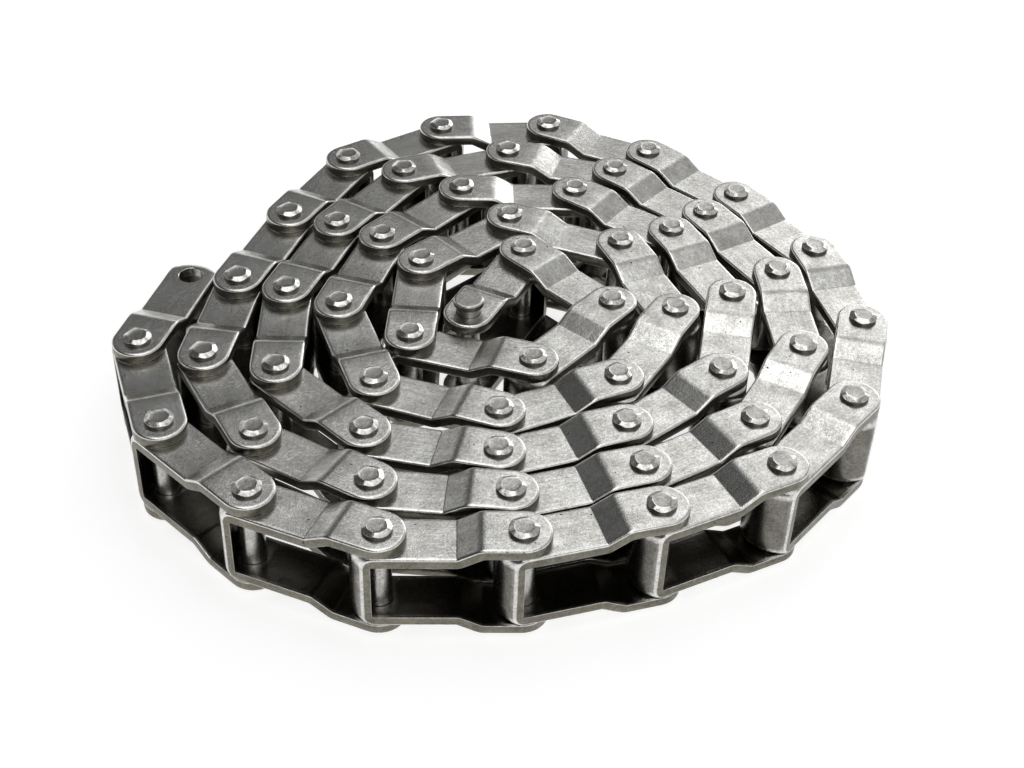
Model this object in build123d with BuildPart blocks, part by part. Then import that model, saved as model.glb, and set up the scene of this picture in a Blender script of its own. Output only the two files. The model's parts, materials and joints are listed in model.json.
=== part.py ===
"""Steel pintle chain: one bent strip and one riveted pin to each link, coiled flat.

Each link is a steel strip folded round into a closed end, which is the barrel of the hinge, and
cranked outwards into two ears.  The riveted pin stands in the link's own ears and turns in the
closed end of the next link.  While the coil lies flat every hinge is parallel to Z.
Units are millimetres.
"""
import os
from math import atan2, cos, radians, sin, tan

from build123d import *

# One link.  Its own frame has the closed end's hole at the origin, the ears towards +X and the
# pins along Z.
PITCH = 57.15
STRIP_WIDTH = 23.0
STRIP_THICKNESS = 4.76
INSIDE_WIDTH = 28.0  # between the side bars at the closed end
CRANK_RISE = 5.0  # each ear steps out past the closed end of the next link
CRANK_START = 31.0  # on the outer face, from the closed end's hole to the first bend
CRANK_END = 40.4
BEND_RADIUS = 4.0  # on the hollow side of each bend of the crank
FOLD_RADIUS = 5.0  # outside corners of the closed end

# The closed end bulges: along the pins its wall is a shallow arc on the outside and the inside.
NOSE = 11.5  # from the hole to the furthest point of the wall
NOSE_RADIUS = 15.0
HOLLOW = 6.7  # from the hole to the inside of the wall
HOLLOW_RADIUS = 17.5

# Riveted pin
PIN_RADIUS = 5.55
EAR_FIT = 0.015  # the pin is driven into the ears
BARREL_FIT = 0.07  # and turns in the closed end
HEAD_RADIUS = 6.15
HEAD_FLAT_RADIUS = 4.15
HEAD_SIDE = 1.9
HEAD_HEIGHT = 2.6

# Loose connecting pin.  It stands on its lower end in the last ears, ready for the next length.
CONNECTOR_RADIUS = 5.5
CONNECTOR_LENGTH = 54.5  # under the head
CONNECTOR_HEAD_RADIUS = 7.0
CONNECTOR_HEAD_HEIGHT = 3.0
CONNECTOR_HEAD_EDGE = 0.9
COTTER_HOLE_RADIUS = 1.6
COTTER_HOLE_HEIGHT = 3.5

# The lay of the coil: the angle at each hinge in degrees, from the free outer end to the core,
# one row for each turn.  Every link turns anticlockwise from the one before.
COIL = [
    [33.5, 27.5, 21.5, 23.5, 15.0, 10.0, 23.5, 27.0, 27.5, 21.0, 12.0, 18.0, 29.5, 30.0, 29.5, 7.0],
    [11.0, 37.0, 31.0, 25.5, 21.5, 14.0, 30.0, 33.0, 27.0, 18.0, 25.0, 37.0, 37.0, 12.5],
    [20.5, 44.5, 33.0, 30.5, 20.0, 40.5, 35.5, 29.0, 36.5, 48.5, 24.0],
    [36.5, 51.5, 43.5, 35.0, 53.5, 46.0, 63.5, 44.5],
    [76.5, 66.0, 85.5, 108.5],
]
FIRST_HEADING = -103.25
FIRST_HINGE = (-149.33, 13.59)  # the free closed end, from the middle of the coil

# Worked out from the above
BAR_INNER = INSIDE_WIDTH / 2
BAR_OUTER = BAR_INNER + STRIP_THICKNESS
EAR_INNER = BAR_INNER + CRANK_RISE
EAR_OUTER = BAR_OUTER + CRANK_RISE
EAR_RADIUS = STRIP_WIDTH / 2
MID_HEIGHT = EAR_OUTER + HEAD_HEIGHT  # the coil rests on the lower pin heads
CRANK_SLOPE = atan2(CRANK_RISE, CRANK_END - CRANK_START)
CRANK_SHIFT = STRIP_THICKNESS * tan(CRANK_SLOPE / 2)  # the inner bends sit nearer the ears
WIDE_BEND_RADIUS = BEND_RADIUS + STRIP_THICKNESS


def side_profile(start, bar_face, ear_face, shift, radii):
    """Points and corner radii of a link's side view, out to one face of its bars."""
    end = PITCH + 2 * EAR_RADIUS
    upper = [
        (start, bar_face),
        (CRANK_START + shift, bar_face),
        (CRANK_END + shift, ear_face),
        (end, ear_face),
    ]
    lower = [(x, -z) for x, z in reversed(upper)]
    return upper + lower, radii + radii[::-1]


# Space between the bars, from the inside of the closed end's wall outwards
with BuildPart() as hollow:
    points, radii = side_profile(
        -NOSE, BAR_INNER, EAR_INNER, CRANK_SHIFT, [0, WIDE_BEND_RADIUS, BEND_RADIUS, 0]
    )
    with BuildSketch(Plane.XZ):
        with BuildLine():
            FilletPolyline(points, radius=radii, close=True)
        make_face()
    extrude(amount=STRIP_WIDTH, both=True)
    with BuildSketch():
        with Locations((HOLLOW_RADIUS - HOLLOW, 0)):
            Circle(HOLLOW_RADIUS)
        with Locations((PITCH, 0)):
            Rectangle(2 * PITCH, 2 * STRIP_WIDTH)
    extrude(amount=EAR_OUTER, both=True, mode=Mode.INTERSECT)

# The bent strip with its four holes
with BuildPart() as strip:
    points, radii = side_profile(
        -NOSE, BAR_OUTER, EAR_OUTER, 0, [FOLD_RADIUS, BEND_RADIUS, WIDE_BEND_RADIUS, 0]
    )
    with BuildSketch(Plane.XZ):
        with BuildLine():
            FilletPolyline(points, radius=radii, close=True)
        make_face()
    extrude(amount=STRIP_WIDTH / 2, both=True)
    with BuildSketch():
        with Locations((NOSE_RADIUS - NOSE, 0)):
            Circle(NOSE_RADIUS)
        with Locations((PITCH / 2, 0)):
            Rectangle(PITCH, STRIP_WIDTH)
        with Locations((PITCH, 0)):
            Circle(EAR_RADIUS)
    extrude(amount=EAR_OUTER, both=True, mode=Mode.INTERSECT)
    add(hollow.part, mode=Mode.SUBTRACT)
    with Locations((0, 0, BAR_OUTER)):
        Hole(PIN_RADIUS + BARREL_FIT, depth=2 * BAR_OUTER)
    with Locations((PITCH, 0, EAR_OUTER)):
        Hole(PIN_RADIUS + EAR_FIT, depth=2 * EAR_OUTER)

# Riveted pin, its two ends headed over the ears
with BuildPart() as pin:
    with BuildSketch(Plane.XZ):
        with BuildLine():
            Polyline(
                (0, -MID_HEIGHT),
                (HEAD_FLAT_RADIUS, -MID_HEIGHT),
                (HEAD_RADIUS, -EAR_OUTER - HEAD_SIDE),
                (HEAD_RADIUS, -EAR_OUTER),
                (PIN_RADIUS, -EAR_OUTER),
                (PIN_RADIUS, EAR_OUTER),
                (HEAD_RADIUS, EAR_OUTER),
                (HEAD_RADIUS, EAR_OUTER + HEAD_SIDE),
                (HEAD_FLAT_RADIUS, MID_HEIGHT),
                (0, MID_HEIGHT),
                close=True,
            )
        make_face()
    revolve(axis=Axis.Z)

# Connecting pin, from its lower end up
with BuildPart() as connector:
    with BuildSketch():
        Circle(CONNECTOR_RADIUS)
    extrude(amount=CONNECTOR_LENGTH)
    with BuildSketch(Plane.XY.offset(CONNECTOR_LENGTH)):
        Circle(CONNECTOR_HEAD_RADIUS)
    extrude(amount=CONNECTOR_HEAD_HEIGHT)
    fillet(connector.edges().group_by(Axis.Z)[-1], CONNECTOR_HEAD_EDGE)
    with BuildSketch(Plane.XZ.offset(-CONNECTOR_RADIUS)):
        with Locations((0, COTTER_HOLE_HEIGHT)):
            Circle(COTTER_HOLE_RADIUS)
    extrude(amount=2 * CONNECTOR_RADIUS, mode=Mode.SUBTRACT)


def lay_of_coil():
    """Place of each link in the coil: its closed end's hole and its heading in degrees."""
    x, y = FIRST_HINGE
    heading = FIRST_HEADING
    places = []
    for angle in [angle for turn in COIL for angle in turn] + [0]:
        places.append((x, y, heading))
        x += PITCH * cos(radians(heading))
        y += PITCH * sin(radians(heading))
        heading += angle
    return places, (x, y)


os.makedirs("parts", exist_ok=True)

PLACES, LAST_HINGE = lay_of_coil()
riveted_pin = Pos(PITCH, 0, 0) * pin.part
for number, (x, y, heading) in enumerate(PLACES, start=1):
    place = Pos(x, y, MID_HEIGHT) * Rot(0, 0, heading)
    pieces = [strip.part] if number == len(PLACES) else [strip.part, riveted_pin]
    link = Compound(children=[place * piece for piece in pieces])
    link.label = f"link_{number:02d}"
    export_step(link, f"parts/{link.label}.step")

connecting_pin = Pos(*LAST_HINGE, 0) * connector.part
connecting_pin.label = "connecting_pin"
export_step(connecting_pin, "parts/connecting_pin.step")
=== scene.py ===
# %% [markdown]
# # A steel pintle chain, coiled flat
#
# The chain has 54 links.  Each link is one strip of steel, folded round into a closed end and
# cranked outwards into two ears, with a pin riveted through the ears.  The pin turns in the
# closed end of the next link.  This lesson dresses a CAD model of the coil: the CAD model says
# where each link lies, and Blender gives it rolled edges, hammered rivets and a steel skin.

# %% Load the CAD model as a fixed frame
import json
from math import atan2, cos, pi, radians, sin, sqrt, tan

import bmesh
import bpy
from mathutils import Matrix, Vector


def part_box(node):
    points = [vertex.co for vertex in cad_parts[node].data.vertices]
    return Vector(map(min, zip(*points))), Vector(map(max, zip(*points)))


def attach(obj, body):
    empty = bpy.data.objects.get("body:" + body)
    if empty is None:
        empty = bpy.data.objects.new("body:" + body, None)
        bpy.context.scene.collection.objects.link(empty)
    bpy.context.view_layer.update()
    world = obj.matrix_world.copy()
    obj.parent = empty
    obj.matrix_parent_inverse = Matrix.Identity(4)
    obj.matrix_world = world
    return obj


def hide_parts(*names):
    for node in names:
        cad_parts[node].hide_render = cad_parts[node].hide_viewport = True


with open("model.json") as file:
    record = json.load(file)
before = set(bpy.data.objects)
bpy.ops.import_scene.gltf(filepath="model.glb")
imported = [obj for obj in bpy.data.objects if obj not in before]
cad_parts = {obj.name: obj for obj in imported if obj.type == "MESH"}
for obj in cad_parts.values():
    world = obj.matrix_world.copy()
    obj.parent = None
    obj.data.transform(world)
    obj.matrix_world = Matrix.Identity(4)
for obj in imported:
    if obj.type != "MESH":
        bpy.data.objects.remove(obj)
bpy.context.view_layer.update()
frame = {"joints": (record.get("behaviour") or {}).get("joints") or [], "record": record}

# %% [markdown]
# ## Where the links lie
#
# A link's place is known from its two hinges: its closed end is at one and its ears are at the
# next.  The CAD model's joints give every hinge but the first, which is the free end's bore, and
# the last, which is the loose connecting pin.

# %% Read the hinges
record = frame["record"]
hinge_joints = sorted(
    (joint for joint in frame["joints"] if joint["name"].startswith("hinge")),
    key=lambda joint: joint["name"],
)
free_end = next(m for m in record["mounts"] if m["name"] == "free_end_bore")
pin_low, pin_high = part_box("connecting_pin")
mid_height = free_end["pos_m"][2]
last_hinge = Vector(((pin_low.x + pin_high.x) / 2, (pin_low.y + pin_high.y) / 2, mid_height))
hinges = [Vector(free_end["pos_m"])] + [Vector(j["pos_m"]) for j in hinge_joints] + [last_hinge]
pitch = (hinges[1] - hinges[0]).length * 1000
coil_middle = sum(hinges, Vector()) / len(hinges)
print("links:", len(hinges) - 1, "pitch in mm:", round(pitch, 3))

# %% [markdown]
# ## The camera
#
# The coil is seen from the front and from about 40 degrees above, quite close, so the near
# links look clearly larger than the far ones.  The camera is placed from the middle of the
# hinges, and it is turned about its own axis by two degrees, as a hand-held camera is.

# %% Set the camera
TILT, ROLL = radians(39.92), radians(2.17)
SENSOR_WIDTH, LENS_LENGTH = 36.0, 56.6015625  # in millimetres
TO_THE_RIGHT, IN_FRONT, ABOVE_THE_FLOOR = 0.00228, 0.58747, 0.4954
camera_data = bpy.data.cameras.new("coil_camera")
camera = bpy.data.objects.new("coil_camera", camera_data)
bpy.context.scene.collection.objects.link(camera)
bpy.context.scene.camera = camera
camera_data.sensor_width = SENSOR_WIDTH
camera_data.lens = LENS_LENGTH
camera_data.clip_start, camera_data.clip_end = 0.01, 50

level_right, level_up = Vector((1, 0, 0)), Vector((0, sin(TILT), cos(TILT)))
right = cos(ROLL) * level_right + sin(ROLL) * level_up
up = cos(ROLL) * level_up - sin(ROLL) * level_right
turn = Matrix((right, up, right.cross(up))).transposed().to_4x4()
spot = Vector((coil_middle.x + TO_THE_RIGHT, coil_middle.y - IN_FRONT, ABOVE_THE_FLOOR))
camera.matrix_world = Matrix.Translation(spot) @ turn
print("camera at", [round(value, 3) for value in spot], "lens", round(camera_data.lens, 1))

# %% [markdown]
# ## Floor and light
#
# Steel shows what surrounds it, so the light is what draws the chain.  The light comes from the
# right and from above: a plate that looks that way is bright, and a ramp that looks to the left
# is dark.  Two soft boxes do most of that, one behind on the right and one above.  The world is
# dim, with a broad glow high on the right whose middle is held back, and a weaker glow low on
# the left, as from a pale wall, which keeps the left-facing ramps from going black.  The floor is
# a pale round sheet whose rim curves up, as in a photographer's cove, so that low views have a
# pale background too.

# %% Floor, lamps and world
scene = bpy.context.scene
scene.view_settings.view_transform = "Standard"

FLOOR_FLAT, COVE_RADIUS, COVE_TURN, COVE_STEPS = 2.6, 1.1, radians(72), 12
FLOOR_DROP = 0.0002  # keeps the floor clear of the pin heads that rest on it
FLOOR_GLOW = 0.72


def round_loop(mesh, radius, height, around):
    """Points round one ring about Z."""
    turns = [2 * pi * i / around for i in range(around)]
    return [mesh.verts.new((radius * cos(a), radius * sin(a), height)) for a in turns]


def pale_cove(around=96):
    """A round floor whose rim curves up."""
    mesh = bmesh.new()
    profile = [(share * FLOOR_FLAT, -FLOOR_DROP) for share in (0.25, 0.5, 0.75, 1.0)]
    for step in range(1, COVE_STEPS + 1):
        angle = COVE_TURN * step / COVE_STEPS
        rise = COVE_RADIUS * (1 - cos(angle))
        profile.append((FLOOR_FLAT + COVE_RADIUS * sin(angle), rise - FLOOR_DROP))
    middle = mesh.verts.new((0, 0, -FLOOR_DROP))
    loops = [round_loop(mesh, radius, height, around) for radius, height in profile]
    for i in range(around):
        j = (i + 1) % around
        mesh.faces.new((middle, loops[0][i], loops[0][j]))
        for inside, outside in zip(loops, loops[1:]):
            mesh.faces.new((inside[i], outside[i], outside[j], inside[j]))
    for face in mesh.faces:
        face.smooth = True
    data = bpy.data.meshes.new("pale_cove")
    mesh.to_mesh(data)
    mesh.free()
    return bpy.data.objects.new("pale_cove", data)


cove = pale_cove()
scene.collection.objects.link(cove)
cove_paint = bpy.data.materials.new("pale_cove")
cove_paint.use_nodes = True
nodes, links = cove_paint.node_tree.nodes, cove_paint.node_tree.links
nodes.clear()
matt = nodes.new("ShaderNodeBsdfDiffuse")
matt.inputs["Color"].default_value = (0.52, 0.52, 0.52, 1)
glow = nodes.new("ShaderNodeEmission")
path = nodes.new("ShaderNodeLightPath")
seen = None
for ray in ("Is Camera Ray", "Is Glossy Ray", "Is Transmission Ray"):
    either = nodes.new("ShaderNodeMath")
    either.operation = "MAXIMUM"
    either.inputs[1].default_value = 0.0
    links.new(path.outputs[ray], either.inputs[0])
    if seen:
        links.new(seen, either.inputs[1])
    seen = either.outputs[0]
level = nodes.new("ShaderNodeMath")
level.operation = "MULTIPLY"
level.inputs[1].default_value = FLOOR_GLOW
both = nodes.new("ShaderNodeAddShader")
surface = nodes.new("ShaderNodeOutputMaterial")
links.new(seen, level.inputs[0])
links.new(level.outputs[0], glow.inputs["Strength"])
links.new(matt.outputs[0], both.inputs[0])
links.new(glow.outputs[0], both.inputs[1])
links.new(both.outputs[0], surface.inputs["Surface"])
cove.data.materials.append(cove_paint)


def soft_box(name, place, width, height, brightness):
    """A rectangular lamp that shines at the coil; its brightness is that of its own face."""
    data = bpy.data.lights.new(name, "AREA")
    data.shape, data.size, data.size_y = "RECTANGLE", width, height
    data.energy = brightness * pi * width * height
    lamp = bpy.data.objects.new(name, data)
    scene.collection.objects.link(lamp)
    lamp.location = place
    lamp.rotation_mode = "QUATERNION"
    lamp.rotation_quaternion = (-lamp.location).to_track_quat("-Z", "Y")
    lamp.visible_camera = False
    return lamp


soft_box("soft_box_behind", (0.78, 1.42, 0.48), 0.9, 0.55, 1.9)
soft_box("soft_box_above", (0.15, -0.08, 1.50), 1.0, 1.2, 0.90)

world = bpy.data.worlds.new("light_from_the_right")
world.use_nodes = True
nodes, links = world.node_tree.nodes, world.node_tree.links
direction = nodes.new("ShaderNodeTexCoord")


def sky_part(towards, start, end, low, high):
    """A level that goes from low to high as the sky's direction nears a given one."""
    near = nodes.new("ShaderNodeVectorMath")
    near.operation = "DOT_PRODUCT"
    near.inputs[1].default_value = towards
    level = nodes.new("ShaderNodeMapRange")
    level.interpolation_type = "SMOOTHSTEP"
    for socket, value in zip(("From Min", "From Max", "To Min", "To Max"), (start, end, low, high)):
        level.inputs[socket].default_value = value
    links.new(direction.outputs["Generated"], near.inputs[0])
    links.new(near.outputs["Value"], level.inputs["Value"])
    return level.outputs["Result"]


HIGH_ON_THE_RIGHT, LOW_ON_THE_LEFT = (0.70, 0.0, 0.70), (-0.70, 0.55, -0.45)
glow_on_right = sky_part(HIGH_ON_THE_RIGHT, 0.34, 0.50, 0.0, 1.28)
held_back = sky_part(HIGH_ON_THE_RIGHT, 0.60, 0.72, 1.0, 0.32)
wall_on_left = sky_part(LOW_ON_THE_LEFT, 0.36, 0.66, 0.05, 0.40)
sky_level = nodes.new("ShaderNodeMath")
sky_level.operation = "MULTIPLY_ADD"
links.new(glow_on_right, sky_level.inputs[0])
links.new(held_back, sky_level.inputs[1])
links.new(wall_on_left, sky_level.inputs[2])
links.new(sky_level.outputs[0], nodes["Background"].inputs["Strength"])
nodes["Background"].inputs["Color"].default_value = (1.0, 1.0, 0.995, 1)
scene.world = world

# %% [markdown]
# ## The steel skin, as node groups
#
# Hot-rolled strip has a mottled grey skin with fine grain, faint lines along the rolling
# direction and a few pits.  Where parts rub, edges above all, the skin is worn bright.  Both
# effects are used on the strips and on the pins, so each is a shader node group that is built
# once.  The groups only put out colours and numbers, and the shaders stay in the materials.

# %% A helper that makes node groups
def new_group(name, inputs, outputs):
    """An empty shader group with its sockets, and its input and output nodes."""
    group = bpy.data.node_groups.new(name, "ShaderNodeTree")
    for socket, kind, value in inputs:
        made = group.interface.new_socket(socket, in_out="INPUT", socket_type=kind)
        made.default_value = value
    for socket, kind in outputs:
        group.interface.new_socket(socket, in_out="OUTPUT", socket_type=kind)
    return group, group.nodes.new("NodeGroupInput"), group.nodes.new("NodeGroupOutput")


def math(tree, operation, first, second=None, third=None, clamp=False):
    """A Math node, whose inputs are sockets or numbers."""
    node = tree.nodes.new("ShaderNodeMath")
    node.operation, node.use_clamp = operation, clamp
    for socket, value in zip(node.inputs, (first, second, third)):
        if isinstance(value, (int, float)):
            socket.default_value = value
        elif value is not None:
            tree.links.new(value, socket)
    return node.outputs[0]


def speckle(tree, where, scale, detail=3.0, rough=0.6, stretch=(1, 1, 1)):
    """Noise of a given fineness, which can be drawn out along an axis."""
    mapping = tree.nodes.new("ShaderNodeMapping")
    mapping.inputs["Scale"].default_value = stretch
    noise = tree.nodes.new("ShaderNodeTexNoise")
    noise.inputs["Scale"].default_value = scale
    noise.inputs["Detail"].default_value = detail
    noise.inputs["Roughness"].default_value = rough
    tree.links.new(where, mapping.inputs["Vector"])
    tree.links.new(mapping.outputs["Vector"], noise.inputs["Vector"])
    return noise.outputs["Fac"]


def mix_colour(tree, amount, first, second, blend="MIX"):
    """A colour Mix node, whose inputs are sockets or colours."""
    node = tree.nodes.new("ShaderNodeMix")
    node.data_type, node.blend_type = "RGBA", blend
    for index, value in ((0, amount), (6, first), (7, second)):
        if isinstance(value, (int, float, tuple)):
            node.inputs[index].default_value = value
        else:
            tree.links.new(value, node.inputs[index])
    return node.outputs[2]


# %% The mottled skin
skin, skin_in, skin_out = new_group(
    "mottled_skin",
    [
        ("Where", "NodeSocketVector", (0, 0, 0)),
        ("Along", "NodeSocketVector", (0, 0, 0)),
        ("Dark", "NodeSocketColor", (0.2, 0.2, 0.2, 1)),
        ("Light", "NodeSocketColor", (0.5, 0.5, 0.5, 1)),
        ("Blotches", "NodeSocketFloat", 1.0),
        ("Grain", "NodeSocketFloat", 1.0),
        ("Lines", "NodeSocketFloat", 1.0),
        ("Pits", "NodeSocketFloat", 1.0),
    ],
    [
        ("Colour", "NodeSocketColor"),
        ("Roughness", "NodeSocketFloat"),
        ("Height", "NodeSocketFloat"),
    ],
)
where, along = skin_in.outputs["Where"], skin_in.outputs["Along"]
blotches = speckle(skin, where, 95, 4, 0.62)
mottle = speckle(skin, where, 620, 5, 0.74)
grain = speckle(skin, where, 2100, 2, 0.6)
rolling_lines = speckle(skin, along, 900, 3, 0.6, (0.05, 1, 1))

broad = math(skin, "MULTIPLY", math(skin, "SUBTRACT", blotches, 0.5), skin_in.outputs["Blotches"])
fine = math(skin, "MULTIPLY", math(skin, "SUBTRACT", mottle, 0.5), skin_in.outputs["Grain"])
tiny = math(skin, "MULTIPLY", math(skin, "SUBTRACT", grain, 0.5), skin_in.outputs["Grain"])
drawn = math(skin, "MULTIPLY", math(skin, "SUBTRACT", rolling_lines, 0.5), skin_in.outputs["Lines"])
tone = math(skin, "MULTIPLY_ADD", broad, 1.3, 0.5)
tone = math(skin, "MULTIPLY_ADD", fine, 0.9, tone)
tone = math(skin, "MULTIPLY_ADD", tiny, 0.9, tone)
tone = math(skin, "MULTIPLY_ADD", drawn, 0.8, tone, clamp=True)

PIT_DENSITY, PIT_SIZE, PIT_PATCH_LEVEL = 210, 0.085, 0.56
pit_cells = skin.nodes.new("ShaderNodeTexVoronoi")
pit_cells.inputs["Scale"].default_value = PIT_DENSITY
skin.links.new(where, pit_cells.inputs["Vector"])
pit_patches = math(skin, "GREATER_THAN", speckle(skin, where, 60, 1), PIT_PATCH_LEVEL)
pit = math(skin, "LESS_THAN", pit_cells.outputs["Distance"], PIT_SIZE)
pit = math(skin, "MULTIPLY", pit, pit_patches)
pit = math(skin, "MULTIPLY", pit, skin_in.outputs["Pits"])

colour = mix_colour(skin, tone, skin_in.outputs["Dark"], skin_in.outputs["Light"])
colour = mix_colour(skin, pit, colour, (0.03, 0.028, 0.025, 1))
rough = math(skin, "MULTIPLY_ADD", tone, -0.10, 0.29)
rough = math(skin, "MULTIPLY_ADD", pit, 0.3, rough)
height = math(skin, "MULTIPLY_ADD", fine, 0.6, math(skin, "MULTIPLY", tiny, 0.5))
height = math(skin, "MULTIPLY_ADD", drawn, 0.3, height)
height = math(skin, "MULTIPLY_ADD", pit, -1.0, height)
skin.links.new(colour, skin_out.inputs["Colour"])
skin.links.new(rough, skin_out.inputs["Roughness"])
skin.links.new(height, skin_out.inputs["Height"])
print("mottled_skin has", len(skin.nodes), "nodes")

# %% The worn edges
wear, wear_in, wear_out = new_group(
    "worn_edges",
    [
        ("Where", "NodeSocketVector", (0, 0, 0)),
        ("Edge", "NodeSocketFloat", 0.0),
    ],
    [("Mask", "NodeSocketFloat")],
)
broken = speckle(wear, wear_in.outputs["Where"], 330, 4, 0.7)
broken = math(wear, "MULTIPLY_ADD", broken, 3.2, -1.0, clamp=True)
worn = math(wear, "MULTIPLY", broken, wear_in.outputs["Edge"], clamp=True)
wear.links.new(worn, wear_out.inputs["Mask"])
print("worn_edges has", len(wear.nodes), "nodes")

# %% [markdown]
# ## Two steels
#
# The strip steel is a slightly warm grey, a little darker on its cut sides than on its faces.
# The pins are turned bar, a shade darker, with rivet heads whose hammered facets are bare.
# Both materials read attributes that the meshes carry: how near an edge is, how cut the surface
# is, how much painted shade it gets, which darkens the inner faces and the closed end's wall where
# shade falls between the links, how bright this link is, and where a point lies in its own link.

# %% Make the steel materials
RELIEF_DEPTH = 0.0002


def steel(name, dark, light, cut_colour, painted_shade_colour, bare, values, bump, tone_swing):
    """A steel finish made of the two groups, with its own colours and amounts."""
    material = bpy.data.materials.new(name)
    material.use_nodes = True
    tree = material.node_tree
    shader = tree.nodes["Principled BSDF"]
    shader.inputs["Metallic"].default_value = 1.0
    coordinates = tree.nodes.new("ShaderNodeTexCoord")
    read = {}
    for attribute in ("in_link", "edge", "cut", "painted_shade", "tone"):
        read[attribute] = tree.nodes.new("ShaderNodeAttribute")
        read[attribute].attribute_name = attribute

    skin_node = tree.nodes.new("ShaderNodeGroup")
    skin_node.node_tree = skin
    tree.links.new(coordinates.outputs["Object"], skin_node.inputs["Where"])
    tree.links.new(read["in_link"].outputs["Vector"], skin_node.inputs["Along"])
    skin_node.inputs["Dark"].default_value = dark
    skin_node.inputs["Light"].default_value = light
    for socket, value in values.items():
        skin_node.inputs[socket].default_value = value

    wear_node = tree.nodes.new("ShaderNodeGroup")
    wear_node.node_tree = wear
    tree.links.new(coordinates.outputs["Object"], wear_node.inputs["Where"])
    tree.links.new(read["edge"].outputs["Fac"], wear_node.inputs["Edge"])

    cut = mix_colour(tree, read["cut"].outputs["Fac"], (1, 1, 1, 1), cut_colour)
    colour = mix_colour(tree, 1.0, skin_node.outputs["Colour"], cut, "MULTIPLY")
    # Painted shade: this darker colour stands in for the shade on the inner faces and the closed
    # end's wall.
    painted_shade_tint = mix_colour(tree, read["painted_shade"].outputs["Fac"], (1, 1, 1, 1), painted_shade_colour)
    colour = mix_colour(tree, 1.0, colour, painted_shade_tint, "MULTIPLY")
    swing = math(tree, "MULTIPLY_ADD", read["tone"].outputs["Fac"], tone_swing, 1 - tone_swing / 2)
    shade = tree.nodes.new("ShaderNodeCombineColor")
    for channel in shade.inputs:
        tree.links.new(swing, channel)
    colour = mix_colour(tree, 1.0, colour, shade.outputs[0], "MULTIPLY")
    worn = wear_node.outputs["Mask"]
    colour = mix_colour(tree, worn, colour, bare)
    tree.links.new(colour, shader.inputs["Base Color"])
    rough = math(tree, "MULTIPLY_ADD", worn, -0.10, skin_node.outputs["Roughness"])
    rough = math(tree, "MULTIPLY_ADD", read["cut"].outputs["Fac"], 0.08, rough, clamp=True)
    tree.links.new(rough, shader.inputs["Roughness"])

    relief = tree.nodes.new("ShaderNodeBump")
    relief.inputs["Strength"].default_value = bump
    relief.inputs["Distance"].default_value = RELIEF_DEPTH
    tree.links.new(skin_node.outputs["Height"], relief.inputs["Height"])
    tree.links.new(relief.outputs["Normal"], shader.inputs["Normal"])
    return material


strip_steel = steel(
    "strip_steel",
    dark=(0.34, 0.335, 0.31, 1),
    light=(0.88, 0.875, 0.85, 1),
    cut_colour=(0.29, 0.275, 0.235, 1),
    # painted shade for the inner faces and the closed end's wall
    painted_shade_colour=(0.20, 0.19, 0.165, 1),
    bare=(0.84, 0.83, 0.81, 1),
    values={"Blotches": 1.0, "Grain": 1.8, "Lines": 0.7, "Pits": 1.0},
    bump=0.28,
    tone_swing=0.18,
)
pin_steel = steel(
    "pin_steel",
    dark=(0.24, 0.235, 0.215, 1),
    light=(0.66, 0.655, 0.63, 1),
    cut_colour=(0.40, 0.39, 0.36, 1),
    painted_shade_colour=(0.35, 0.34, 0.31, 1),
    bare=(0.88, 0.87, 0.85, 1),
    values={"Blotches": 0.7, "Grain": 1.5, "Lines": 0.3, "Pits": 0.0},
    bump=0.40,
    tone_swing=0.12,
)
print("materials:", strip_steel.name, pin_steel.name)

# %% [markdown]
# ## The bent strip
#
# On the real chain the strip starts as a flat blank with rounded ends and four punched holes,
# and is then folded and cranked.  Shearing rolls the edges of its outer face over and leaves a
# thin burr on the inner one.  The mesh is made the same way: two faces run round the link from
# station to station, rings of faces surround the holes, and then the edges are bevelled.
# A curve with a profile could follow the bends too, but it couldn't carry the holes.

# %% Sizes of the strip, in millimetres
strip_thickness, bar_face, crank_rise = 4.76, 18.76, 5.0
ear_face = bar_face + crank_rise
ear_radius = 11.5
crank_start, crank_end = 31.0, 40.4
bend_radius, foot_radius, fold_radius = 4.0, 1.6, 5.0
nose, nose_radius = 11.5, 15.0
hollow, hollow_radius = 6.7, 17.5
pin_radius, ear_fit, barrel_fit = 5.55, 0.015, 0.07
ROLLED_EDGE, BURR, HOLE_CHAMFER = 1.0, 0.25, 0.3
HOLE_FRAME = 8.5  # from a hole's centre to the straight cut that borders its rings of faces
BAR_CUT = 19.0  # a cut across the bar, between the barrel's hole and the crank
rows = [ear_radius * step / 5 for step in (-5, -4.2, -3, -2, -1, 0, 1, 2, 3, 4.2, 5)]
print("ear face", ear_face, "mm above the middle of the pin")


# %% Stations along the upper half of the link, from the ear to the closed end
def flat_station(x, face):
    """A straight cut across the strip: the outer and the inner point for a place across it."""
    return lambda y: (Vector((x, y, face)), Vector((x, y, face - strip_thickness)))


def bend_station(centre, outer_radius, inner_radius, side, angle):
    """A cut across one of the crank's two bends."""
    across = Vector((-side * sin(angle), 0, side * cos(angle)))
    middle = Vector((centre[0], 0, centre[1]))

    def cut(y):
        shift = Vector((0, y, 0))
        return middle + across * outer_radius + shift, middle + across * inner_radius + shift

    return cut


def fold_station(angle):
    """A cut across the corner where the strip folds into the closed end."""
    def cut(y):
        outside = nose_radius - nose - sqrt(nose_radius**2 - y**2)
        inside = hollow_radius - hollow - sqrt(hollow_radius**2 - y**2)
        corner = outside + fold_radius
        low = bar_face - fold_radius
        step = bar_face - strip_thickness - low
        return (
            Vector((corner - fold_radius * sin(angle), y, low + fold_radius * cos(angle))),
            Vector((corner - (corner - inside) * sin(angle), y, low + step * cos(angle))),
        )

    return cut


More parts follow.
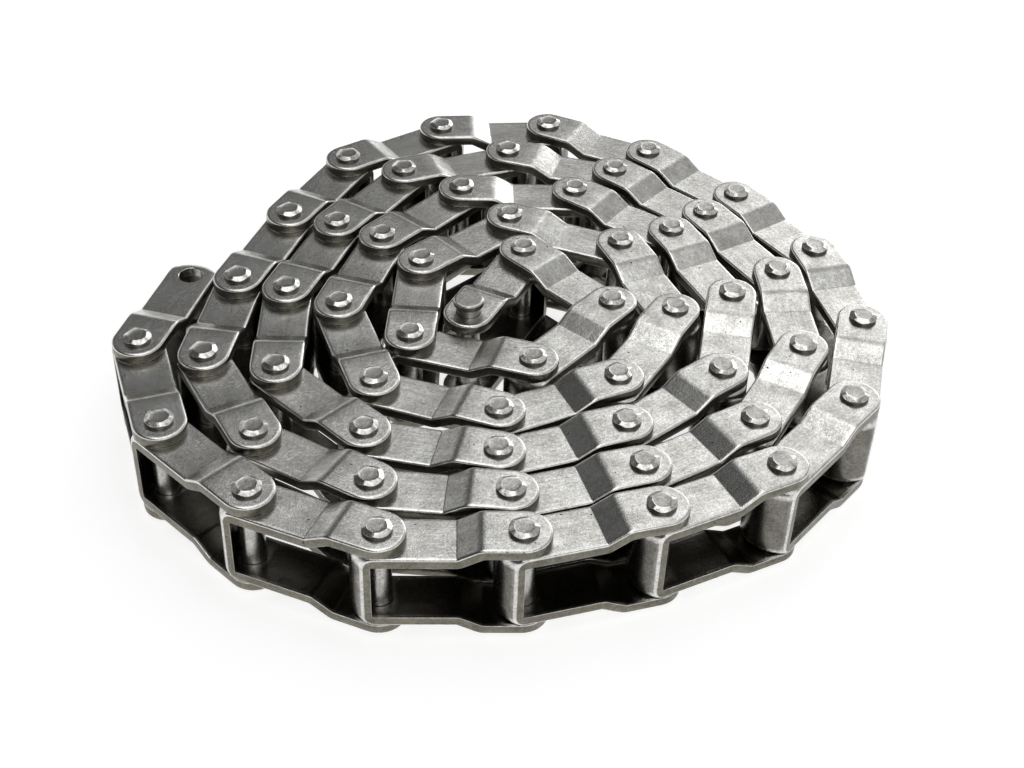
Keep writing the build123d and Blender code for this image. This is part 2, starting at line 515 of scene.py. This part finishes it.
def wall_station(z):
    """A cut across the closed end's wall, which bulges outwards."""
    def cut(y):
        outside = nose_radius - nose - sqrt(nose_radius**2 - y**2)
        inside = hollow_radius - hollow - sqrt(hollow_radius**2 - y**2)
        return Vector((outside, y, z)), Vector((inside, y, z))

    return cut


slope = atan2(crank_rise, crank_end - crank_start)
shift = tan(slope / 2)
wide_bend_radius = bend_radius + strip_thickness
top_bend = (crank_end + wide_bend_radius * shift, ear_face - wide_bend_radius)
foot_bend = (crank_start - foot_radius * shift, bar_face + foot_radius)
wide_foot_radius = foot_radius + strip_thickness
steps = [slope * step / 4 for step in range(5)]

ear_cut, barrel_cut = pitch - HOLE_FRAME, HOLE_FRAME
crank = [flat_station(ear_cut, ear_face)]
crank += [bend_station(top_bend, wide_bend_radius, bend_radius, 1, angle) for angle in steps]
crank += [
    bend_station(foot_bend, foot_radius, wide_foot_radius, -1, angle) for angle in steps[::-1]
]
crank += [flat_station(BAR_CUT, bar_face), flat_station(barrel_cut, bar_face)]
closed_end = [fold_station(radians(angle)) for angle in (0, 22.5, 45, 67.5, 90)]
closed_end += [wall_station(z) for z in (9.5, 5.0, 0.0)]
print("crank stations:", len(crank), "closed-end stations:", len(closed_end))


# %% Skin the stations and ring the holes
OUTER, SIDE, INNER, BORE, BEVEL = range(5)


def quad(mesh, corners, kind):
    """A face that remembers which kind of surface it is on."""
    face = mesh.faces.new(corners)
    face.material_index = kind
    return face


def skin_stations(mesh, cuts, first=None):
    """Outer face, inner face and both sides of a run of stations."""
    made = [first] if first else []
    for cut in cuts[len(made):]:
        made.append([[mesh.verts.new(point) for point in cut(y)] for y in rows])
    for here, there in zip(made, made[1:]):
        for a, b, c, d in zip(here, here[1:], there[1:], there):
            quad(mesh, (a[0], b[0], c[0], d[0]), OUTER)
            quad(mesh, (d[1], c[1], b[1], a[1]), INNER)
        for side in (0, -1):
            quad(mesh, (here[side][0], there[side][0], there[side][1], here[side][1]), SIDE)
    return made


def ring_hole(mesh, border, open_edges, centre_x, radius):
    """Faces between a closed border and a round hole, with the hole's wall."""
    loops = [border]
    for share in (0.30, 1.0):
        loop = []
        for outer, inner in border:
            angle = atan2(outer.co.y, outer.co.x - centre_x)
            pair = []
            for vertex in (outer, inner):
                rim = Vector((centre_x + radius * cos(angle), radius * sin(angle), vertex.co.z))
                pair.append(mesh.verts.new(vertex.co.lerp(rim, share)))
            loop.append(pair)
        loops.append(loop)
    count = len(border)
    for outside, inside in zip(loops, loops[1:]):
        for i in range(count):
            j = (i + 1) % count
            quad(mesh, (outside[i][0], outside[j][0], inside[j][0], inside[i][0]), OUTER)
            quad(mesh, (inside[i][1], inside[j][1], outside[j][1], outside[i][1]), INNER)
    for i in range(count):
        j = (i + 1) % count
        quad(mesh, (loops[-1][i][0], loops[-1][j][0], loops[-1][j][1], loops[-1][i][1]), BORE)
        if i in open_edges:
            quad(mesh, (border[i][0], border[i][1], border[j][1], border[j][0]), SIDE)


def pair_at(mesh, x, y, face):
    """A point on the outer face and the one behind it on the inner face."""
    return [mesh.verts.new((x, y, face)), mesh.verts.new((x, y, face - strip_thickness))]


def half_strip(mesh):
    """The upper half of the link, from the ear's tip to the middle of the closed end."""
    cranked = skin_stations(mesh, crank)
    folded = skin_stations(mesh, closed_end)

    right_side = [pair_at(mesh, x, -ear_radius, ear_face) for x in (ear_cut + 4.5, pitch)]
    tip = [
        pair_at(mesh, pitch + ear_radius * cos(turn), ear_radius * sin(turn), ear_face)
        for turn in (radians(angle) for angle in range(-81, 82, 9))
    ]
    left_side = [pair_at(mesh, x, ear_radius, ear_face) for x in (pitch, ear_cut + 4.5)]
    across = cranked[0][::-1]
    border = right_side + tip + left_side + across
    free = len(right_side + tip + left_side)
    open_edges = set(range(free)) | {len(border) - 1}
    ring_hole(mesh, border, open_edges, pitch, pin_radius + ear_fit)

    right_side = [pair_at(mesh, x, -ear_radius, bar_face) for x in (1.8, 5.2)]
    left_side = [pair_at(mesh, x, ear_radius, bar_face) for x in (5.2, 1.8)]
    across, fold = cranked[-1], folded[0][::-1]
    border = right_side + across + left_side + fold
    start, end = len(right_side), len(right_side + across)
    open_edges = set(range(start)) | set(range(end - 1, end + len(left_side))) | {len(border) - 1}
    ring_hole(mesh, border, open_edges, 0, pin_radius + barrel_fit)


# %% Mirror the half, bevel the edges and mark what is cut
def edges_between(mesh, first, second):
    """Edges that have one kind of face on each side."""
    return [
        edge for edge in mesh.edges
        if sorted(face.material_index for face in edge.link_faces) == sorted((first, second))
    ]


def bevel(mesh, edges, width, segments):
    """Bevels edges and gives back the new faces' corners that aren't on the strip's cut sides."""
    made = bmesh.ops.bevel(
        mesh, geom=edges, offset=width, offset_type="OFFSET", segments=segments, profile=0.5,
        affect="EDGES", clamp_overlap=False, loop_slide=True, material=BEVEL,
    )
    corners = {vertex for face in made["faces"] for vertex in face.verts}
    return {v for v in corners if all(face.material_index != SIDE for face in v.link_faces)}


SHARP_ANGLE = radians(24)
WALL_WEAR = 0.3  # the share of the edge wear that the closed end's wall gets


def finish_mesh(mesh, name):
    """Turns millimetres into metres and gives a mesh object that only the node tree shows."""
    mesh.transform(Matrix.Scale(0.001, 4))
    for face in mesh.faces:
        face.material_index = 0
        face.smooth = True
    data = bpy.data.meshes.new(name)
    mesh.to_mesh(data)
    mesh.free()
    data.set_sharp_from_angle(angle=SHARP_ANGLE)
    return bpy.data.objects.new(name, data)


def on_wall(vertex):
    """Whether a point is on the closed end's wall, which other links rub least and which gets
    painted shade.
    """
    return vertex.co.x < 0 and abs(vertex.co.z) < bar_face - 0.75 * fold_radius


def bent_strip():
    """The whole strip of one link, with its closed end at the origin and its ears towards +X."""
    mesh = bmesh.new()
    half_strip(mesh)
    whole = bmesh.ops.duplicate(mesh, geom=mesh.verts[:] + mesh.edges[:] + mesh.faces[:])
    copied = [item for item in whole["geom"] if isinstance(item, bmesh.types.BMVert)]
    bmesh.ops.scale(mesh, vec=(1, 1, -1), verts=copied)
    bmesh.ops.remove_doubles(mesh, verts=mesh.verts[:], dist=0.001)
    bmesh.ops.recalc_face_normals(mesh, faces=mesh.faces[:])
    open_edges = [edge for edge in mesh.edges if not edge.is_manifold]
    print("strip volume in cubic mm:", round(mesh.calc_volume()), "open edges:", len(open_edges))

    edge_mark = mesh.verts.layers.float.new("edge")
    cut_mark = mesh.verts.layers.float.new("cut")
    marks = [
        (bevel(mesh, edges_between(mesh, OUTER, SIDE), ROLLED_EDGE, 4), 0.8),
        (bevel(mesh, edges_between(mesh, INNER, SIDE), BURR, 2), 1.0),
        (bevel(mesh, edges_between(mesh, OUTER, BORE), HOLE_CHAMFER, 1), 0.6),
        (bevel(mesh, edges_between(mesh, INNER, BORE), HOLE_CHAMFER, 1), 0.6),
    ]
    for corners, amount in marks:
        for vertex in corners:
            if vertex.is_valid:
                vertex[edge_mark] = amount * (WALL_WEAR if on_wall(vertex) else 1.0)
    # Painted shade: the inner faces, less near their edges, and the outer face of the closed end's
    # wall are marked for a darker colour that stands in for the shade between the links.
    painted_shade_mark = mesh.verts.layers.float.new("painted_shade")
    for face in mesh.faces:
        for vertex in face.verts:
            if face.material_index in (SIDE, BORE):
                vertex[cut_mark] = 1.0
            if face.material_index == INNER:
                painted_shade = 0.4 if vertex[edge_mark] else 1.0
                vertex[painted_shade_mark] = max(vertex[painted_shade_mark], painted_shade)
            if face.material_index == OUTER and on_wall(vertex):
                vertex[painted_shade_mark] = 0.9
    return finish_mesh(mesh, "bent_strip")


strip = bent_strip()
print("strip faces:", len(strip.data.polygons))

# %% [markdown]
# ## The riveted pin
#
# The pin is plain round bar.  Its ends stand out of the ears and are headed with a tool that
# leaves five slanting facets round a small flat.  Where a slanting facet meets the round side,
# the edge dips, so the head's rim looks scalloped.  The head is built ring by ring, because its
# radius and height change with the angle, which a spun profile can't do.  The facets run into
# one another without a crease, so only the rims of the flat and of the side stay sharp.

# %% Make the riveted pin
HEAD_RADIUS, HEAD_FLAT, HEAD_HEIGHT, HEAD_SIDE = 6.15, 4.0, 2.6, 1.9
FACETS, FACET_SLOPE = 5, radians(30)
HEAD_DISH, RIM_BAND, FOOT_BAND = 0.12, 0.12, 0.15  # the flat's hollow and two bands of the side
SHANK_EASE = 0.09  # keeps the many-sided shank clear of the many-sided hole it turns in
OUTWARD_STEP = 0.0003  # in metres; an edge that runs outwards by more than this isn't sharp


def head_ring(share, radius_of, height_of, around):
    """Points round one ring of a rivet head."""
    points = []
    for i in range(around):
        angle = 2 * pi * i / around
        off = (angle % (2 * pi / FACETS)) - pi / FACETS
        points.append((angle, radius_of(off) * share, height_of(off)))
    return points


def cap_ends(mesh, loops):
    """Fans of faces over the first and the last loop of a pin, with every normal outwards."""
    for loop in (loops[0], loops[-1]):
        middle = mesh.verts.new(sum((vertex.co for vertex in loop), Vector()) / len(loop))
        for i in range(len(loop)):
            mesh.faces.new((loop[i], loop[(i + 1) % len(loop)], middle))
    bmesh.ops.recalc_face_normals(mesh, faces=mesh.faces[:])


def riveted_pin(around=48):
    """A pin along Z with a head at each end, centred on the origin."""
    mesh = bmesh.new()
    crown = ear_face + HEAD_HEIGHT
    flat = lambda off: min(HEAD_FLAT / cos(off), HEAD_FLAT * 1.05)
    rim = lambda off: crown - (HEAD_RADIUS * cos(off) - HEAD_FLAT) * tan(FACET_SLOPE)
    top = lambda off: crown
    dished = lambda off: crown - HEAD_DISH
    head = lambda off: HEAD_RADIUS
    shank = lambda off: pin_radius - SHANK_EASE
    upper = [
        head_ring(0.45, flat, dished, around),
        head_ring(0.84, flat, dished, around),
        head_ring(1.0, flat, top, around),
        head_ring(0.99, head, rim, around),
        head_ring(1.0, head, lambda off: rim(off) - RIM_BAND, around),
        head_ring(1.0, head, lambda off: ear_face + FOOT_BAND, around),
        head_ring(0.985, head, lambda off: ear_face, around),
        head_ring(1.0, shank, lambda off: ear_face, around),
    ]
    lower = [[(angle, radius, -height) for angle, radius, height in ring] for ring in upper[::-1]]
    loops = [
        [
            mesh.verts.new((radius * cos(angle), radius * sin(angle), height))
            for angle, radius, height in ring
        ]
        for ring in upper + lower
    ]
    for above, below in zip(loops, loops[1:]):
        for i in range(around):
            j = (i + 1) % around
            mesh.faces.new((above[i], below[i], below[j], above[j]))
    cap_ends(mesh, loops)

    edge_mark = mesh.verts.layers.float.new("edge")
    cut_mark = mesh.verts.layers.float.new("cut")
    for vertex in mesh.verts:
        out, high = vertex.co.xy.length, abs(vertex.co.z) - ear_face
        on_facets = HEAD_FLAT * 0.97 < out < HEAD_RADIUS * 0.995 and high > 0.5
        on_side = out > HEAD_RADIUS * 0.98 and high < HEAD_SIDE
        vertex[edge_mark] = float(on_facets)
        vertex[cut_mark] = float(on_side)
    pin = finish_mesh(mesh, "riveted_pin")
    for edge in pin.data.edges:
        start, end = (pin.data.vertices[corner].co.xy.length for corner in edge.vertices)
        if abs(start - end) > OUTWARD_STEP:
            edge.use_edge_sharp = False
    return pin


rivet = riveted_pin()
print("pin faces:", len(rivet.data.polygons))

# %% [markdown]
# ## A node tree that lays one link
#
# All 54 links are the same strip and pin in different places, which is work for Geometry Nodes.
# The tree takes the two meshes, turns the pin by a random amount, dents its heads a little,
# notes where each point lies in the link, and moves the link to its place in the coil.  A copied
# object would do as well, but the tree keeps the sizes and the seed in one place.

# %% Build the tree
tree = bpy.data.node_groups.new("laid_link", "GeometryNodeTree")
for socket, kind, value in [
    ("Strip", "NodeSocketObject", None),
    ("Pin", "NodeSocketObject", None),
    ("Pitch", "NodeSocketFloat", 0.05715),
    ("Place", "NodeSocketVector", (0, 0, 0)),
    ("Heading", "NodeSocketFloat", 0.0),
    ("Seed", "NodeSocketInt", 0),
    ("Dents", "NodeSocketFloat", 0.00016),
    ("Has Pin", "NodeSocketBool", True),
    ("Strip Finish", "NodeSocketMaterial", None),
    ("Pin Finish", "NodeSocketMaterial", None),
]:
    made = tree.interface.new_socket(socket, in_out="INPUT", socket_type=kind)
    if value is not None:
        made.default_value = value
tree.interface.new_socket("Geometry", in_out="OUTPUT", socket_type="NodeSocketGeometry")
asked = tree.nodes.new("NodeGroupInput").outputs
answer = tree.nodes.new("NodeGroupOutput")


def add(kind, **settings):
    """A node with some of its settings."""
    node = tree.nodes.new(kind)
    for name, value in settings.items():
        setattr(node, name, value)
    return node


def store(geometry, name, kind, value):
    """Stores a named attribute on the points of a geometry."""
    node = add("GeometryNodeStoreNamedAttribute", data_type=kind, domain="POINT")
    node.inputs["Name"].default_value = name
    tree.links.new(geometry, node.inputs["Geometry"])
    if isinstance(value, (bool, float)):
        node.inputs["Value"].default_value = value
    else:
        tree.links.new(value, node.inputs["Value"])
    return node.outputs["Geometry"]


def seeded(low, high, offset):
    """A random number that depends on the link's seed."""
    number = add("ShaderNodeMath", operation="ADD")
    number.inputs[1].default_value = offset
    tree.links.new(asked["Seed"], number.inputs[0])
    node = add("FunctionNodeRandomValue", data_type="FLOAT")
    node.inputs[2].default_value, node.inputs[3].default_value = low, high
    tree.links.new(number.outputs[0], node.inputs["Seed"])
    return node.outputs[1]


strip_source = add("GeometryNodeObjectInfo")
pin_source = add("GeometryNodeObjectInfo")
tree.links.new(asked["Strip"], strip_source.inputs["Object"])
tree.links.new(asked["Pin"], pin_source.inputs["Object"])
position = add("GeometryNodeInputPosition")

dent = add("ShaderNodeTexNoise", noise_dimensions="4D")
dent.inputs["Scale"].default_value = 330
dent.inputs["Detail"].default_value = 1
centred = add("ShaderNodeVectorMath", operation="SUBTRACT")
centred.inputs[1].default_value = (0.5, 0.5, 0.5)
sized = add("ShaderNodeVectorMath", operation="SCALE")
only_sideways = add("ShaderNodeVectorMath", operation="MULTIPLY")
only_sideways.inputs[1].default_value = (1, 1, 0)
edge_of_head = add("GeometryNodeInputNamedAttribute", data_type="FLOAT")
edge_of_head.inputs["Name"].default_value = "edge"
dented = add("GeometryNodeSetPosition")
tree.links.new(position.outputs[0], dent.inputs["Vector"])
tree.links.new(asked["Seed"], dent.inputs["W"])
tree.links.new(dent.outputs["Color"], centred.inputs[0])
tree.links.new(centred.outputs[0], sized.inputs[0])
tree.links.new(asked["Dents"], sized.inputs["Scale"])
tree.links.new(sized.outputs[0], only_sideways.inputs[0])
tree.links.new(pin_source.outputs["Geometry"], dented.inputs["Geometry"])
tree.links.new(edge_of_head.outputs["Attribute"], dented.inputs["Selection"])
tree.links.new(only_sideways.outputs[0], dented.inputs["Offset"])

pin_turn = add("ShaderNodeCombineXYZ")
pin_place = add("ShaderNodeCombineXYZ")
turned_pin = add("GeometryNodeTransform")
tree.links.new(seeded(0.0, 2 * pi, 100), pin_turn.inputs["Z"])
tree.links.new(asked["Pitch"], pin_place.inputs["X"])
tree.links.new(dented.outputs[0], turned_pin.inputs["Geometry"])
tree.links.new(pin_place.outputs[0], turned_pin.inputs["Translation"])
tree.links.new(pin_turn.outputs[0], turned_pin.inputs["Rotation"])

if_pin = add("GeometryNodeSwitch", input_type="GEOMETRY")
tree.links.new(asked["Has Pin"], if_pin.inputs["Switch"])
tree.links.new(store(turned_pin.outputs[0], "is_pin", "FLOAT", 1.0), if_pin.inputs["True"])
joined = add("GeometryNodeJoinGeometry")
tree.links.new(if_pin.outputs[0], joined.inputs[0])
tree.links.new(store(strip_source.outputs["Geometry"], "is_pin", "FLOAT", 0.0), joined.inputs[0])
noted = store(joined.outputs[0], "in_link", "FLOAT_VECTOR", position.outputs[0])
noted = store(noted, "tone", "FLOAT", seeded(0.0, 1.0, 200))

link_turn = add("ShaderNodeCombineXYZ")
laid = add("GeometryNodeTransform")
tree.links.new(asked["Heading"], link_turn.inputs["Z"])
tree.links.new(noted, laid.inputs["Geometry"])
tree.links.new(asked["Place"], laid.inputs["Translation"])
tree.links.new(link_turn.outputs[0], laid.inputs["Rotation"])

real = add("GeometryNodeRealizeInstances")
strip_paint = add("GeometryNodeSetMaterial")
pin_paint = add("GeometryNodeSetMaterial")
pin_points = add("GeometryNodeInputNamedAttribute", data_type="FLOAT")
pin_points.inputs["Name"].default_value = "is_pin"
tree.links.new(laid.outputs[0], real.inputs[0])
tree.links.new(real.outputs[0], strip_paint.inputs["Geometry"])
tree.links.new(asked["Strip Finish"], strip_paint.inputs["Material"])
tree.links.new(strip_paint.outputs[0], pin_paint.inputs["Geometry"])
tree.links.new(pin_points.outputs["Attribute"], pin_paint.inputs["Selection"])
tree.links.new(asked["Pin Finish"], pin_paint.inputs["Material"])
tree.links.new(pin_paint.outputs[0], answer.inputs["Geometry"])
tree_inputs = [item for item in tree.interface.items_tree if item.in_out == "INPUT"]
sockets = {item.name: item.identifier for item in tree_inputs}
print("laid_link has", len(tree.nodes), "nodes and takes", list(sockets))

# %% [markdown]
# ## Every link becomes one plain mesh
#
# Each link gets its own object with the tree on it.  Once all the inputs are set, the results are
# turned into plain meshes and the modifiers go, so that every link is a finished piece whose
# place is in its mesh.  It then rides on its own body of the CAD model and stands for that
# body's CAD node.

# %% Lay the links
laid_links = []
for number, (start, end) in enumerate(zip(hinges, hinges[1:]), start=1):
    piece = f"laid_link_{number:02d}"
    carrier = bpy.data.objects.new(piece, bpy.data.meshes.new(piece))
    scene.collection.objects.link(carrier)
    nodes_modifier = carrier.modifiers.new("laid_link", "NODES")
    nodes_modifier.node_group = tree
    values = {
        "Strip": strip,
        "Pin": rivet,
        "Pitch": (end - start).length,
        "Place": start,
        "Heading": atan2(end.y - start.y, end.x - start.x),
        "Seed": 500 + number,
        "Has Pin": number < len(hinges) - 1,
        "Strip Finish": strip_steel,
        "Pin Finish": pin_steel,
    }
    for name, value in values.items():
        nodes_modifier[sockets[name]] = value
    laid_links.append(carrier)

graph = bpy.context.evaluated_depsgraph_get()
plain = [bpy.data.meshes.new_from_object(carrier.evaluated_get(graph)) for carrier in laid_links]
for number, (carrier, mesh) in enumerate(zip(laid_links, plain), start=1):
    carrier.modifiers.clear()
    carrier.data = mesh
    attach(carrier, f"link_{number:02d}")
    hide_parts(f"link_{number:02d}")
print("links laid:", len(laid_links), "faces each:", len(plain[0].polygons))

# %% [markdown]
# ## The loose connecting pin
#
# A length of chain comes with one pin that isn't riveted, for joining it to the next length.  It
# stands in the last link's ears, so its round head is higher than the rivets.  The head's flat
# top has a rounded edge.  The CAD model's small cross hole for a cotter, at the pin's lower end,
# isn't in this mesh.

# %% Make the connecting pin
# Radius and height of each ring in millimetres, from the lower end to the top of the head
CONNECTOR_SHANK = [(4.9, 0.0), (5.5, 0.6), (5.5, 8.0), (5.5, 30.0), (5.5, 53.9), (5.5, 54.5)]
CONNECTOR_HEAD = [
    (6.75, 54.5), (7.0, 54.75), (7.0, 56.6), (6.87, 57.05), (6.55, 57.37), (6.1, 57.5),
    (5.6, 57.5), (2.5, 57.5),
]


def connecting_pin(around=48):
    """A headed pin on its lower end, along Z at the origin."""
    mesh = bmesh.new()
    profile = CONNECTOR_SHANK + CONNECTOR_HEAD
    loops = [round_loop(mesh, radius, height, around) for radius, height in profile]
    for below, above in zip(loops, loops[1:]):
        for i in range(around):
            j = (i + 1) % around
            mesh.faces.new((below[i], below[j], above[j], above[i]))
    cap_ends(mesh, loops)
    edge_mark = mesh.verts.layers.float.new("edge")
    cut_mark = mesh.verts.layers.float.new("cut")
    for vertex in mesh.verts:
        out, high = vertex.co.xy.length, vertex.co.z
        on_rounded_edge = out > 5.9 and high > 56.9
        on_head_side = out > 6.9 and high > 54.4
        vertex[edge_mark] = 0.8 if on_rounded_edge else 0.0
        vertex[cut_mark] = float(on_head_side)
    return finish_mesh(mesh, "loose_connecting_pin")


loose_pin = connecting_pin()
loose_pin.data.transform(Matrix.Translation((last_hinge.x, last_hinge.y, 0)))
loose_pin.data.materials.append(pin_steel)
scene.collection.objects.link(loose_pin)
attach(loose_pin, "connecting_pin")
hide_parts("connecting_pin")
print("connecting pin top at", round(max(v.co.z for v in loose_pin.data.vertices), 5))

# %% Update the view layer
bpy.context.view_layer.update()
